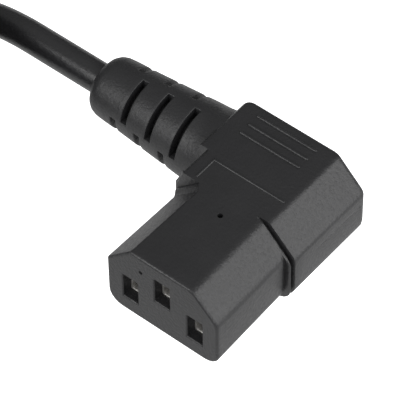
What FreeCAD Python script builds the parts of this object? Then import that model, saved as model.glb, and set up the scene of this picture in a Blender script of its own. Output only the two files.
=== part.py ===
import FreeCAD, Part
import math
import os
from FreeCAD import Vector

# The row's frame, in mm: the origin is the centre of the contact face, X is to the
# right for someone who looks at that face, Y goes back into the connector, Z is up
# on the earth contact's side.

# Connector nose
FACE_WIDTH = 24.0
FACE_HEIGHT = 16.4
FACE_CHAMFER = 5.3
FACE_RADIUS = 2.8
FACE_ROUNDING = 0.5
NOSE_DRAFT = 0.3
NOSE_LENGTH = 17.9
COLLAR_LENGTH = 0.95
COLLAR_OVERHANG = 0.5
SEAM_WIDTH = 0.85
SEAM_INSET = 0.9
SEAM_TOP_DEPTH = 0.1
ROOT_LENGTH = 2.3
PIN_HOLE_DIAMETER = 0.95
PIN_HOLE_DEPTH = 1.4
PIN_HOLE_Y = 15.6
DIMPLE_DIAMETER = 0.8
DIMPLE_DEPTH = 0.4
DIMPLE_X = -4.5
DIMPLE_Z = 4.5

# Poles: across and up from the centre of the face
POLES = {
    "line": (7.0, -2.0),
    "neutral": (-7.0, -2.0),
    "earth": (0.0, 2.0),
}
SLOT_WIDTH = 3.3
SLOT_HEIGHT = 5.8

# Folded contacts
CONTACT_FRONT = 2.15
CONTACT_LENGTH = 11.3
SHEET = 0.45
LEAF_START = 1.0
LEAF_THROAT = 5.5
LEAF_THROAT_LENGTH = 0.8
LEAF_END = 9.5
LEAF_RISE = 0.35
LEAF_HEIGHT = 3.6
NECK_WIDTH = 1.6
BARREL_Y = 20.0
BARREL_LENGTH = 4.0
BARREL_DIAMETER = 2.2

# Hood
HOOD_HALF_WIDTH = 13.1
HOOD_LENGTH = 19.5
HOOD_CHAMFER = 5.65
HOOD_BOTTOM_RADIUS = 3.6
HOOD_EDGE_RADIUS = 1.2
# Left of here the hood closes the seam and the nose has no collar
LIP_X = FACE_CHAMFER - FACE_WIDTH / 2
LIP_INSET = 0.6
SHOULDER_LENGTH = 6.1
SHOULDER_INSET = 2.1
SHOULDER_DROP = 4.2
GRIP_X = (-8.9, 3.65)
GRIP_Y = (32.2, 34.5, 36.9)
GRIP_WIDTH = 0.6
GRIP_RISE = 0.3
FRAME_X = (-8.6, 6.4)
FRAME_Y = (20.0, 24.6)
FRAME_WIDTH = 0.4
FRAME_RISE = 0.15

# Slotted boot, along -X
BOOT_Y = 32.1
BOOT_LENGTH = 26.8
BOOT_END_X = -HOOD_HALF_WIDTH - BOOT_LENGTH
# Distance from the boot's end, and radius there
BOOT_OUTLINE = (
    (0.0, 3.05), (0.8, 4.2), (2.3, 5.45), (3.5, 5.95), (4.9, 6.1),
    (6.9, 6.24), (12.4, 6.67), (17.9, 7.1), (21.3, 7.4), (26.9, 7.7),
)
SLIT_WIDTH = 1.1
SLIT_DEPTH = 2.0
SLIT_SPAN = 88.0
SLIT_START = 1.0
SLITS_FRONT_TOP = (9.6, 15.4, 21.4)
SLITS_FRONT_BOTTOM = (7.05, 12.85, 18.8)

# Cord and cores
CORD_DIAMETER = 6.0
CORE_DIAMETER = 2.3
STRANDS_DIAMETER = 1.2
CORE_START_Y = BARREL_Y + BARREL_LENGTH + 1.5
JACKET_END_X = -15.0
LANES = {
    "line": (1.3, -0.72),
    "neutral": (-1.3, -0.72),
    "earth": (0.0, 1.45),
}
CORE_BEND = 4.5

# Coil on the surface that the part stands on
FLOOR = -FACE_HEIGHT / 2
COIL_X = -88.5
COIL_OUTER_TURN = 38.0
COIL_Y = BOOT_Y - COIL_OUTER_TURN
# Distance from the boot's end, and height from the boot's axis
LEAD_POINTS = (
    (0.0, 0.0), (22.0, 0.0), (32.0, -2.7), (41.0, -4.9),
)
BEND_SHARE = 0.45
TAIL_STEP = 22.5
TAIL_RISE = (-0.25, 0.35, 3.0, 5.9, 7.9, 9.2, 10.14)
LAST_TURN_START = 20.0
TAIL_CLEARANCE = 0.1
TAIL_RUN = 12.8
PLUG_TILT = 7.0

# Blocks that cut a tube square, and the size under which points count as one
CUTTER_SIZE = 400.0
SAME = 0.01

# Tie strap
TIE_WIDTH = 12.0
TIE_THICKNESS = 1.2
TIE_ANGLE = 225.0

# Plug, made along its own +Y with the boot's end at zero
PLUG_BOOT_LENGTH = 20.0
PLUG_BODY_LENGTH = 14.0
SHROUD_DEPTH = 18.0
SHROUD_WIDTH = 28.6
SHROUD_HEIGHT = 21.0
SHROUD_CHAMFER = 6.4
SHROUD_RADIUS = 4.4
CAVITY_CLEARANCE = 0.3
PLUG_BOOT_END = 7.0
PLUG_BOOT_RADIUS = 5.0
PLUG_BOOT_ROOT = 8.4
PLUG_SLITS = (4.0, 8.0, 12.0)
PLUG_SLIT_WALL = 1.0
PLUG_SLIT_SPAN = 140.0
BRIDGE_THICKNESS = 5.0
BLADE_WIDTH = 2.0
BLADE_HEIGHT = 4.0
BLADE_SETBACK = 1.5
BLADE_ROOT = 2.0
WIRE_SPARE = 0.2
PLUG_JACKET_END = 15.0


def corner_arc(before, corner, after, reach):
    """The arc that touches both runs at a distance from their corner."""
    into = (corner - before).normalize()
    out = (after - corner).normalize()
    half_turn = into.getAngle(out) / 2
    radius = reach / math.tan(half_turn)
    first = corner - into * reach
    last = corner + out * reach
    middle = corner + (out - into).normalize() * (radius / math.cos(half_turn) - radius)
    return Part.Arc(first, middle, last).toShape(), radius, first, last


def loop(corners, y):
    """A closed outline across Y through corners given as (x, z, radius)."""
    points = [Vector(x, y, z) for x, z, _ in corners]
    edges = []
    ends = []
    for i, (x, z, radius) in enumerate(corners):
        before = points[i - 1]
        after = points[(i + 1) % len(points)]
        if not radius:
            ends.append((points[i], points[i]))
            continue
        half_turn = (points[i] - before).getAngle(after - points[i]) / 2
        reach = radius * math.tan(half_turn)
        arc, _, first, last = corner_arc(before, points[i], after, reach)
        ends.append((first, last))
        edges.append(arc)
    for (_, last), (first, _) in zip(ends, ends[1:] + ends[:1]):
        edges.append(Part.makeLine(last, first))
    return Part.Wire(Part.__sortEdges__(edges))


def connector_outline(half_width, half_height, chamfer, radius, y, bottom=None):
    """A connector's section: chamfered upper corners and rounded lower ones."""
    low = -half_height if bottom is None else bottom
    return loop([
        (-half_width, low, radius),
        (half_width, low, radius),
        (half_width, half_height - chamfer, 0),
        (half_width - chamfer, half_height, 0),
        (chamfer - half_width, half_height, 0),
        (-half_width, half_height - chamfer, 0),
    ], y)


def face_outline(grow, y, top_grow=None):
    """The contact face's outline, grown by a distance on every side."""
    half_width = FACE_WIDTH / 2 + grow
    top = FACE_HEIGHT / 2 + (grow if top_grow is None else top_grow)
    bottom = -FACE_HEIGHT / 2 - grow
    if top_grow is not None:
        bottom = max(bottom, FLOOR)
    slope = FACE_WIDTH / 2 + FACE_HEIGHT / 2 - FACE_CHAMFER + grow * math.sqrt(2)
    chamfer = half_width + top - slope
    return connector_outline(half_width, top, chamfer, FACE_RADIUS, y, bottom)


def prism(wire, length):
    """A wire across Y made solid along +Y."""
    return Part.Face(wire).extrude(Vector(0, length, 0))


def block(x, y, z):
    """A box from three (low, high) pairs."""
    size = [pair[1] - pair[0] for pair in (x, y, z)]
    return Part.makeBox(*size, Vector(x[0], y[0], z[0]))


def centred(width, height, x, y, z):
    """A bar along Y centred on (x, z), between the two values of y."""
    across = (x - width / 2, x + width / 2)
    upright = (z - height / 2, z + height / 2)
    return block(across, y, upright)


def rod(diameter, start, end):
    """A round bar between two points."""
    return Part.makeCylinder(diameter / 2, (end - start).Length, start, end - start)


def beyond(point, direction):
    """A large block on the side of a point that a direction goes to."""
    size = CUTTER_SIZE
    shape = Part.makeBox(size, size, size, Vector(-size / 2, -size / 2, 0))
    shape.Placement = FreeCAD.Placement(
        point, FreeCAD.Rotation(Vector(0, 0, 1), direction)
    )
    return shape


def route(points, bend=None):
    """Straight runs through the points, joined by arcs that touch both runs."""
    edges = []
    radii = []
    start = points[0]
    for before, corner, after in zip(points, points[1:], points[2:]):
        reach = BEND_SHARE * min((corner - before).Length, (after - corner).Length)
        if bend:
            reach = bend * math.tan((corner - before).getAngle(after - corner) / 2)
        arc, radius, first, last = corner_arc(before, corner, after, reach)
        edges += [Part.makeLine(start, first), arc]
        radii.append(radius)
        start = last
    edges.append(Part.makeLine(start, points[-1]))
    return edges, radii


def tube(name, points, diameter, bend=None):
    """A round tube along a route; prints its bends and compares its volume."""
    edges, radii = route(points, bend)
    path = Part.Wire(edges)
    circle = Part.makeCircle(diameter / 2, points[0], points[1] - points[0])
    solid = path.makePipeShell([Part.Wire(circle)], True, True)
    length = sum(edge.Length for edge in edges)
    swept = math.pi * diameter**2 / 4 * length
    tightest = min(radii) / diameter
    print(
        f"{name}: {length:.1f} mm, bends {[round(r, 1) for r in radii]} mm, tightest"
        f" {tightest:.1f} diameters, volume {solid.Volume:.1f} of {swept:.1f}"
    )
    return solid


def coil_point(angle, radius, height):
    """A point over the coil by its angle, radius and height above the floor."""
    turn = math.radians(angle)
    return Vector(
        COIL_X + radius * math.cos(turn),
        COIL_Y + radius * math.sin(turn),
        FLOOR + height,
    )


def make_contact(x, z):
    """A folded box with pressed leaves, and its neck and crimped barrel."""
    front = CONTACT_FRONT
    back = front + CONTACT_LENGTH
    inner_width = SLOT_WIDTH - 2 * SHEET
    inner_height = SLOT_HEIGHT - 2 * SHEET
    shape = centred(SLOT_WIDTH, SLOT_HEIGHT, x, (front, back), z)
    shape = shape.cut(centred(inner_width, inner_height, x, (front, back - SHEET), z))
    for side in (1, -1):
        wall = x + side * inner_width / 2
        crest = wall - side * LEAF_RISE
        low = z - LEAF_HEIGHT / 2
        leaf = Part.makePolygon([
            Vector(wall, front + LEAF_START, low),
            Vector(crest, front + LEAF_THROAT, low),
            Vector(crest, front + LEAF_THROAT + LEAF_THROAT_LENGTH, low),
            Vector(wall, front + LEAF_END, low),
            Vector(wall, front + LEAF_START, low),
        ])
        shape = shape.fuse(Part.Face(leaf).extrude(Vector(0, 0, LEAF_HEIGHT)))
    shape = shape.fuse(centred(NECK_WIDTH, NECK_WIDTH, x, (back, BARREL_Y), z))
    barrel_end = BARREL_Y + BARREL_LENGTH
    barrel = rod(BARREL_DIAMETER, Vector(x, BARREL_Y, z), Vector(x, barrel_end, z))
    return shape.fuse(barrel).removeSplitter()


def make_strands(x, z):
    """The bare strands, from inside the barrel to the core's end."""
    return rod(STRANDS_DIAMETER, Vector(x, BARREL_Y, z), Vector(x, CORE_START_Y, z))


def make_head_wire(name, x, z):
    """A core from its barrel to the jacket, cut square where it starts."""
    aside, up = LANES[name]
    start = Vector(x, CORE_START_Y, z)
    corner = Vector(x, BOOT_Y + aside, up)
    end = Vector(JACKET_END_X, BOOT_Y + aside, up)
    early = start - (corner - start).normalize()
    wire = tube("wire_" + name, [early, corner, end], CORE_DIAMETER, CORE_BEND)
    return wire.common(beyond(start, Vector(0, 1, 0)))


def make_nose():
    """The nose: face block, collar, seam and root, with its slots and holes."""
    collar_y = NOSE_LENGTH
    seam_y = collar_y + COLLAR_LENGTH
    front = face_outline(0, 0)
    back = face_outline(-NOSE_DRAFT, NOSE_LENGTH, 0)
    shape = Part.makeLoft([front, back], True, True)
    rim = [edge for edge in shape.Edges if edge.BoundBox.YMax < SAME]
    shape = shape.makeFillet(FACE_ROUNDING, rim)
    collar = prism(face_outline(COLLAR_OVERHANG, collar_y, 0), COLLAR_LENGTH)
    shape = shape.fuse(collar.common(beyond(Vector(LIP_X, 0, 0), Vector(1, 0, 0))))
    plain = face_outline(-NOSE_DRAFT, collar_y, 0)
    shape = shape.fuse(prism(plain, COLLAR_LENGTH)).removeSplitter()
    core = face_outline(-SEAM_INSET, seam_y, -SEAM_TOP_DEPTH)
    shape = shape.fuse(prism(core, SEAM_WIDTH + ROOT_LENGTH))
    for x, z in POLES.values():
        slot_end = CONTACT_FRONT + CONTACT_LENGTH
        shape = shape.cut(centred(SLOT_WIDTH, SLOT_HEIGHT, x, (0, slot_end), z))
    top = FACE_HEIGHT / 2
    hole_top = Vector(0, PIN_HOLE_Y, top)
    hole_end = Vector(0, PIN_HOLE_Y, top - PIN_HOLE_DEPTH)
    dimple = Vector(DIMPLE_X, 0, DIMPLE_Z)
    shape = shape.cut(rod(PIN_HOLE_DIAMETER, hole_top, hole_end))
    return shape.cut(rod(DIMPLE_DIAMETER, dimple, dimple + Vector(0, DIMPLE_DEPTH, 0)))


def hood_block(front):
    """The hood's block: chamfered on the right, rounded below and at the back."""
    half = HOOD_HALF_WIDTH
    top = FACE_HEIGHT / 2
    section = loop([
        (-half, -top, HOOD_BOTTOM_RADIUS),
        (half, -top, HOOD_BOTTOM_RADIUS),
        (half, top - HOOD_CHAMFER, 0),
        (half - HOOD_CHAMFER, top, 0),
        (-half, top, HOOD_EDGE_RADIUS),
    ], front)
    shape = prism(section, HOOD_LENGTH)
    straight = [e for e in shape.Edges if isinstance(e.Curve, Part.Line)]
    rear = [
        e for e in straight
        if abs(e.Curve.Direction.z) > 0.99 and e.CenterOfMass.y > front + HOOD_LENGTH / 2
    ]
    shape = shape.makeFillet(HOOD_EDGE_RADIUS, rear)
    lip = prism(loop([
        (-half + LIP_INSET, -top, HOOD_BOTTOM_RADIUS),
        (LIP_X, -top, 0),
        (LIP_X, top, 0),
        (-half + LIP_INSET, top, 0),
    ], front - SEAM_WIDTH), SEAM_WIDTH)
    shoulder = loop([
        (SHOULDER_INSET - half, top, 0),
        (-half - SHOULDER_INSET, top, 0),
        (-half - SHOULDER_INSET, top - 2 * SHOULDER_DROP, 0),
    ], front - SEAM_WIDTH)
    return shape.fuse(lip).cut(prism(shoulder, SEAM_WIDTH + SHOULDER_LENGTH))


def raised_bar(x, y, width, rise):
    """A low bar with round ends on the hood's top."""
    top = FACE_HEIGHT / 2
    bar = block(x, (y - width / 2, y + width / 2), (top, top + rise))
    for end in x:
        bar = bar.fuse(Part.makeCylinder(width / 2, rise, Vector(end, y, top)))
    return bar.removeSplitter()


def boot_slits():
    """The slits of the boot, in four quadrants that take turns along it."""
    stations = [p[0] for p in BOOT_OUTLINE]
    radii = [p[1] for p in BOOT_OUTLINE]
    slits = []
    for quadrant in range(4):
        rows = SLITS_FRONT_TOP if quadrant % 2 == 0 else SLITS_FRONT_BOTTOM
        for x in rows:
            after = next(i for i, s in enumerate(stations) if s > x)
            share = (x - stations[after - 1]) / (stations[after] - stations[after - 1])
            radius = radii[after - 1] + share * (radii[after] - radii[after - 1])
            start = Vector(BOOT_END_X + x - SLIT_WIDTH / 2, BOOT_Y, 0)
            along = Vector(1, 0, 0)
            ring = Part.makeCylinder(
                radius + SLIT_DEPTH, SLIT_WIDTH, start, along, SLIT_SPAN
            )
            core = Part.makeCylinder(radius - SLIT_DEPTH, SLIT_WIDTH, start, along)
            ring.rotate(start, along, 90 * quadrant + SLIT_START)
            slits.append(ring.cut(core))
    return slits


def make_hood(inner):
    """The hood and its boot in one, around the pieces that it was moulded on."""
    front = NOSE_LENGTH + COLLAR_LENGTH + SEAM_WIDTH
    points = [Vector(BOOT_END_X + x, BOOT_Y + r, 0) for x, r in BOOT_OUTLINE]
    ends = [Vector(points[-1].x, BOOT_Y, 0), Vector(BOOT_END_X, BOOT_Y, 0)]
    half = Part.Face(Part.makePolygon(points + ends + points[:1]))
    boot = half.revolve(Vector(0, BOOT_Y, 0), Vector(1, 0, 0), 360)
    boot = boot.common(beyond(Vector(0, front + HOOD_LENGTH, 0), Vector(0, -1, 0)))
    shape = hood_block(front).fuse(boot)
    for slit in boot_slits():
        shape = shape.cut(slit)
    for y in GRIP_Y:
        shape = shape.fuse(raised_bar(GRIP_X, y, GRIP_WIDTH, GRIP_RISE))
    half_line = FRAME_WIDTH / 2
    top = FACE_HEIGHT / 2
    left, right = FRAME_X
    low, high = FRAME_Y
    rise = (top, top + FRAME_RISE)
    across = block((left - half_line, right), (high - half_line, high + half_line), rise)
    down = block((left - half_line, left + half_line), (low, high), rise)
    shape = shape.fuse(across.fuse(down).removeSplitter())
    for piece in inner:
        shape = shape.cut(piece)
    return shape


def lead_and_stub():
    """The lead-out of the cord, and the bit of it that lies in the coil."""
    points = [Vector(BOOT_END_X - x, BOOT_Y, z) for x, z in LEAD_POINTS]
    points.append(coil_point(90, COIL_OUTER_TURN, CORD_DIAMETER / 2))
    whole = tube("cord_lead", points, CORD_DIAMETER)
    middle = (points[1] + points[2]) * 0.5
    lead = whole.common(beyond(middle, Vector(1, 0, 0)))
    return lead, whole.common(beyond(middle, Vector(-1, 0, 0)))


def ring_section(inner, outer, low, high, start, sweep):
    """A rounded band turned about the coil's axis from an angle."""
    r = CORD_DIAMETER / 2
    corners = [(inner, low), (outer, low), (outer, high), (inner, high)]
    flat = [Vector(COIL_X + x, COIL_Y, FLOOR + z) for x, z in corners]
    band = Part.Face(Part.makePolygon(flat + flat[:1]))
    solid = band.revolve(Vector(COIL_X, COIL_Y, 0), Vector(0, 0, 1), sweep)
    solid.rotate(Vector(COIL_X, COIL_Y, 0), Vector(0, 0, 1), start)
    circles = [e for e in solid.Edges if isinstance(e.Curve, Part.Circle)]
    return solid.makeFillet(r - TAIL_CLEARANCE, circles)


def make_coil(stub):
    """The stacked turns as one closed solid of their outer shape."""
    d = CORD_DIAMETER
    outer = COIL_OUTER_TURN + d / 2
    inner = outer - 3 * d
    base = ring_section(inner, outer, 0, 2 * d, 0, 360)
    wall = ring_section(outer - d, outer, d, 3 * d, 0, 360)
    sweep = 90 + 360 - len(TAIL_RISE) * TAIL_STEP + TAIL_STEP - LAST_TURN_START
    last = ring_section(outer - 2 * d, outer - d, d, 3 * d, LAST_TURN_START, sweep)
    return base.fuse(wall).fuse(last).fuse(stub).removeSplitter()


def make_tail():
    """The cord's last bend, from the coil's top turn up into the plug's boot."""
    turn_radius = COIL_OUTER_TURN - CORD_DIAMETER - TAIL_CLEARANCE
    corner_radius = turn_radius / math.cos(math.radians(TAIL_STEP / 2))
    top_centre = 2.5 * CORD_DIAMETER
    first = 90 + TAIL_STEP / 2 - len(TAIL_RISE) * TAIL_STEP
    points = [
        coil_point(first + i * TAIL_STEP, corner_radius, top_centre + rise)
        for i, rise in enumerate(TAIL_RISE)
    ]
    tilt = math.radians(PLUG_TILT)
    axis = Vector(-math.cos(tilt), 0, math.sin(tilt))
    whole = tube("cord_tail", points + [points[-1] + axis * TAIL_RUN], CORD_DIAMETER)
    middle = (points[0] + points[1]) * 0.5
    along = Vector(points[1].x - points[0].x, points[1].y - points[0].y, 0)
    tail = whole.common(beyond(middle, along))
    return tail, points[-1], axis


def make_tie():
    """A strap round the coil's turns, flat on the floor below."""
    outer_turn = COIL_OUTER_TURN
    d = CORD_DIAMETER
    centres = [
        (outer_turn - 2 * d, 0.5 * d), (outer_turn, 0.5 * d),
        (outer_turn, 2.5 * d), (outer_turn - d, 2.5 * d), (outer_turn - 2 * d, 1.5 * d),
    ]
    loops = []
    for radius in (d / 2 + TIE_THICKNESS, d / 2):
        points = []
        for i, (x, z) in enumerate(centres):
            last = centres[i - 1]
            after = centres[(i + 1) % len(centres)]
            start = math.atan2(z - last[1], x - last[0]) - math.pi / 2
            end = math.atan2(after[1] - z, after[0] - x) - math.pi / 2
            sweep = (end - start) % (2 * math.pi)
            floor = TIE_THICKNESS if radius == d / 2 else 0
            for step in range(5):
                angle = start + sweep * step / 4
                up = max(z + radius * math.sin(angle), floor)
                points.append(Vector(x + radius * math.cos(angle), -TIE_WIDTH / 2, up))
        pairs = zip(points, points[1:] + points[:1])
        kept = [point for point, after in pairs if (point - after).Length > SAME]
        loops.append(prism(Part.makePolygon(kept + kept[:1]), TIE_WIDTH))
    strap = loops[0].cut(loops[1])
    strap.rotate(Vector(0, 0, 0), Vector(0, 0, 1), TIE_ANGLE)
    strap.translate(Vector(COIL_X, COIL_Y, FLOOR))
    return strap


def plug_pieces():
    """The plug's pieces along +Y, with the boot's end at zero."""
    body_y = PLUG_BOOT_LENGTH
    rim_y = body_y + PLUG_BODY_LENGTH + SHROUD_DEPTH
    floor_y = rim_y - SHROUD_DEPTH
    bridge_y = floor_y - BRIDGE_THICKNESS
    half_height = SHROUD_HEIGHT / 2
    section = connector_outline(
        SHROUD_WIDTH / 2, half_height, SHROUD_CHAMFER, SHROUD_RADIUS, body_y
    )
    shell = prism(section, rim_y - body_y)
    boot = Part.makeCone(
        PLUG_BOOT_RADIUS, PLUG_BOOT_ROOT, body_y, Vector(0, 0, 0), Vector(0, 1, 0)
    )
    shell = shell.fuse(boot)
    cavity = prism(face_outline(CAVITY_CLEARANCE, bridge_y), rim_y - bridge_y)
    bridge = prism(face_outline(CAVITY_CLEARANCE, bridge_y), BRIDGE_THICKNESS)
    for i, y in enumerate(PLUG_SLITS):
        start = Vector(0, y - SLIT_WIDTH / 2, 0)
        along = Vector(0, 1, 0)
        core_radius = CORD_DIAMETER / 2 + PLUG_SLIT_WALL
        core = Part.makeCylinder(core_radius, SLIT_WIDTH, start, along)
        for side in (0, 180):
            slit = Part.makeCylinder(
                PLUG_BOOT_ROOT, SLIT_WIDTH, start, along, PLUG_SLIT_SPAN
            )
            slit.rotate(start, along, side + 90 * (i % 2))
            shell = shell.cut(slit.cut(core))
    jacket = rod(
        CORD_DIAMETER,
        Vector(0, TAIL_RUN - PLUG_BOOT_END, 0),
        Vector(0, PLUG_JACKET_END, 0),
    )
    pieces = {"plug_jacket": jacket}
    for name, (x, z) in POLES.items():
        blade_y = (bridge_y - BLADE_ROOT, rim_y - BLADE_SETBACK)
        blade = centred(BLADE_WIDTH, BLADE_HEIGHT, x, blade_y, z)
        aside, up = LANES[name]
        start = Vector(aside, PLUG_JACKET_END, up)
        end = Vector(x, blade_y[0], z)
        spare = (end - start) * WIRE_SPARE
        wire = rod(CORE_DIAMETER, start - spare, end + spare)
        square = block(
            (-SHROUD_WIDTH, SHROUD_WIDTH), (start.y, end.y), (-SHROUD_WIDTH, SHROUD_WIDTH)
        )
        wire = wire.common(square)
        pieces["blade_" + name] = blade
        pieces["plug_wire_" + name] = wire
        bridge = bridge.cut(blade)
    shell = shell.cut(cavity)
    pieces["plug_bridge"] = bridge
    pieces["plug_shell"] = shell
    return pieces


def place_plug(shape, end, axis):
    """Carry a piece from the plug's own axes to the end of the cord."""
    side = Vector(0, 1, 0)
    turn = FreeCAD.Rotation(side, axis, axis.cross(side) * -1, "ZXY")
    shape.Placement = FreeCAD.Placement(end, turn)
    return shape


def main():
    os.makedirs("parts", exist_ok=True)
    nodes = {}
    for name, (x, z) in POLES.items():
        strands = make_strands(x, z)
        nodes["contact_" + name] = make_contact(x, z).cut(strands)
        nodes["strands_" + name] = strands
        nodes["wire_" + name] = make_head_wire(name, x, z)
    jacket = rod(
        CORD_DIAMETER, Vector(BOOT_END_X, BOOT_Y, 0), Vector(JACKET_END_X, BOOT_Y, 0)
    )
    nodes["jacket_root"] = jacket
    nose = make_nose()
    for name in POLES:
        nose = nose.cut(nodes["contact_" + name]).cut(nodes["strands_" + name])
    nodes["connector_nose"] = nose
    nodes["connector_hood"] = make_hood(list(nodes.values()))
    lead, stub = lead_and_stub()
    tail, last_corner, axis = make_tail()
    tie = make_tie()
    nodes["cord_lead"] = lead
    nodes["cord_tail"] = tail
    nodes["coil_tie"] = tie
    nodes["cord_coil"] = make_coil(stub).cut(tie)
    boot_end = last_corner + axis * PLUG_BOOT_END
    for name, shape in plug_pieces().items():
        nodes[name] = place_plug(shape, boot_end, axis)
    shell = nodes["plug_shell"]
    for name, shape in nodes.items():
        if name.startswith(("plug_wire", "plug_jacket", "blade", "cord_tail")):
            shell = shell.cut(shape)
    nodes["plug_shell"] = shell
    for name, shape in nodes.items():
        box = shape.optimalBoundingBox()
        print(
            f"{name}: solids {len(shape.Solids)}, {shape.Volume:.1f} mm3,"
            f" X {box.XMin:.2f}..{box.XMax:.2f} Y {box.YMin:.2f}..{box.YMax:.2f}"
            f" Z {box.ZMin:.2f}..{box.ZMax:.2f}"
        )
        shape.Solids[0].exportStep(f"parts/{name}.step")


main()
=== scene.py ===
# %% [markdown]
# # A power cord with an angled socket
# A rubber-like cord ends in a moulded socket that turns the cord aside by a right
# angle, so that it lies flat behind a machine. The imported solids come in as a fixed
# frame, and every visible piece is then made round them in the same axes: the origin
# is the centre of the contact face, X is to the right for someone who faces it, Y goes
# back, Z is up. Lengths are written in millimetres and turned into metres where a mesh
# is made, because the real sizes are easier to read that way.

# %% Load the frame
import math

import bmesh
import bpy
import numpy as np
from mathutils import Matrix, Vector


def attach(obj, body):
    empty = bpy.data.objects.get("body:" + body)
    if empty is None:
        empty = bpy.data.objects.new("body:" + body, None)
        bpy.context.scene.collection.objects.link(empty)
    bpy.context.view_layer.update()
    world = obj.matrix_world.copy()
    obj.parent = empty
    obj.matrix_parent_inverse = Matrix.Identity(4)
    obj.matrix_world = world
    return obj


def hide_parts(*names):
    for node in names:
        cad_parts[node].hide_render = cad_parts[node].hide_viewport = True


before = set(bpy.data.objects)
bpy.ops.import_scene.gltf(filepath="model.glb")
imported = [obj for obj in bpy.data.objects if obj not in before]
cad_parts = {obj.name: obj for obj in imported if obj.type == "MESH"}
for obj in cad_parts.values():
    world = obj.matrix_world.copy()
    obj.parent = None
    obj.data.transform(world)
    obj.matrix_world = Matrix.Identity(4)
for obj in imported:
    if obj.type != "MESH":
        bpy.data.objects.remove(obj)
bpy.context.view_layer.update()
MM = 0.001
FLOOR = -8.2
# A hair's width keeps apart surfaces that would lie in one plane.
HAIR = 0.02

# %% [markdown]
# ## The camera
# The photograph looks down on the contact face from its right. A camera could be
# placed by hand and aimed, but then no number in it means anything. Here it is fixed
# by the direction towards it, its distance, how many pixels a millimetre takes, and
# how far the middle of the picture lies from the origin: each of these can be measured
# in the photograph by itself.

# %% Camera
PICTURE = 400
VIEW_AZIMUTH = 40.0
VIEW_ELEVATION = 50.0
VIEW_ROLL = -0.9
VIEW_DISTANCE = 500.0
VIEW_SCALE = 5.98
VIEW_SHIFT = (6.4, 17.2)
SENSOR = 36.0


def placed(name, data):
    """An object that holds some data, linked to the scene."""
    thing = bpy.data.objects.new(name, data)
    bpy.context.scene.collection.objects.link(thing)
    return thing


def view_axes(azimuth, elevation, roll):
    """Right, up and backward of a camera: it looks from azimuth degrees right of the face.
    back = (sin a cos e, -cos a cos e, sin e), right is level and up is back x right."""
    a, e, r = np.radians([azimuth, elevation, roll])
    back = np.array([np.sin(a) * np.cos(e), -np.cos(a) * np.cos(e), np.sin(e)])
    right = np.array([np.cos(a), np.sin(a), 0.0])
    up = np.cross(back, right)
    return right * np.cos(r) + up * np.sin(r), up * np.cos(r) - right * np.sin(r), back


def make_camera():
    """A camera at right * shift + up * shift + back * distance, turned by these three axes.
    The lens follows from the scale: f = sensor * pixels per mm * distance / picture."""
    right, up, back = view_axes(VIEW_AZIMUTH, VIEW_ELEVATION, VIEW_ROLL)
    place = right * VIEW_SHIFT[0] + up * VIEW_SHIFT[1] + back * VIEW_DISTANCE
    data = bpy.data.cameras.new("camera")
    data.sensor_width = SENSOR
    data.lens = SENSOR * VIEW_SCALE * VIEW_DISTANCE / PICTURE
    data.clip_start = 0.01
    camera = placed("camera", data)
    turn = Matrix((right, up, back)).transposed().to_4x4()
    camera.matrix_world = Matrix.Translation(Vector(place * MM)) @ turn
    bpy.context.scene.camera = camera
    return camera


camera = make_camera()
print("lens, mm:", round(camera.data.lens, 1))

# %% [markdown]
# ## Finishes
# The object has three blacks that a hand would tell apart: the harder nose and hood,
# the softer boot, and the cord's smooth jacket. A single even black would look like
# paint. Moulded plastic takes the fine grain of its mould, so each black is a dark base
# with a fine grain in the bump, a slower waviness under it from shrinking, a mottling
# in the gloss and a trace of dust in the colour. The contacts are rolled strip, dull
# and silvery, with long thin streaks along the way that the strip ran.
#
# Everything is worked out on the object's own coordinates, so that the grain has the
# same size on every piece and stays where it is when the object moves.

# %% Node helpers
TINT_REACH = (0.3, 0.72)


def new_material(name, colour, roughness, metallic=0.0):
    """A material whose even values are set on the shader's own sockets."""
    material = bpy.data.materials.new(name)
    material.use_nodes = True
    shader = material.node_tree.nodes["Principled BSDF"]
    shader.inputs["Base Color"].default_value = (*colour, 1)
    shader.inputs["Roughness"].default_value = roughness
    shader.inputs["Metallic"].default_value = metallic
    return material, material.node_tree, shader


def object_noise(tree, scale, detail=3.0, roughness=0.55, stretch=(1, 1, 1)):
    """Noise on the object's own coordinates: scale is in lumps per metre."""
    place = tree.nodes.new("ShaderNodeTexCoord")
    mapping = tree.nodes.new("ShaderNodeMapping")
    mapping.inputs["Scale"].default_value = stretch
    noise = tree.nodes.new("ShaderNodeTexNoise")
    noise.inputs["Scale"].default_value = scale
    noise.inputs["Detail"].default_value = detail
    noise.inputs["Roughness"].default_value = roughness
    tree.links.new(place.outputs["Object"], mapping.inputs["Vector"])
    tree.links.new(mapping.outputs["Vector"], noise.inputs["Vector"])
    return noise.outputs["Fac"]


def spread(tree, value, low, high, start=0.3, end=0.7):
    """A value carried from (start, end) to (low, high) in a straight line, held outside it."""
    reach = tree.nodes.new("ShaderNodeMapRange")
    limits = {"From Min": start, "From Max": end, "To Min": low, "To Max": high}
    for name, limit in limits.items():
        reach.inputs[name].default_value = limit
    tree.links.new(value, reach.inputs["Value"])
    return reach.outputs["Result"]


def tinted(tree, value, colours):
    """A colour that goes from the first to the last of some colours over TINT_REACH."""
    ramp = tree.nodes.new("ShaderNodeValToRGB")
    for stop, at, colour in zip(ramp.color_ramp.elements, TINT_REACH, (colours[0], colours[-1])):
        stop.position = at
        stop.color = (*colour, 1)
    tree.links.new(value, ramp.inputs["Fac"])
    return ramp.outputs["Color"]


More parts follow.
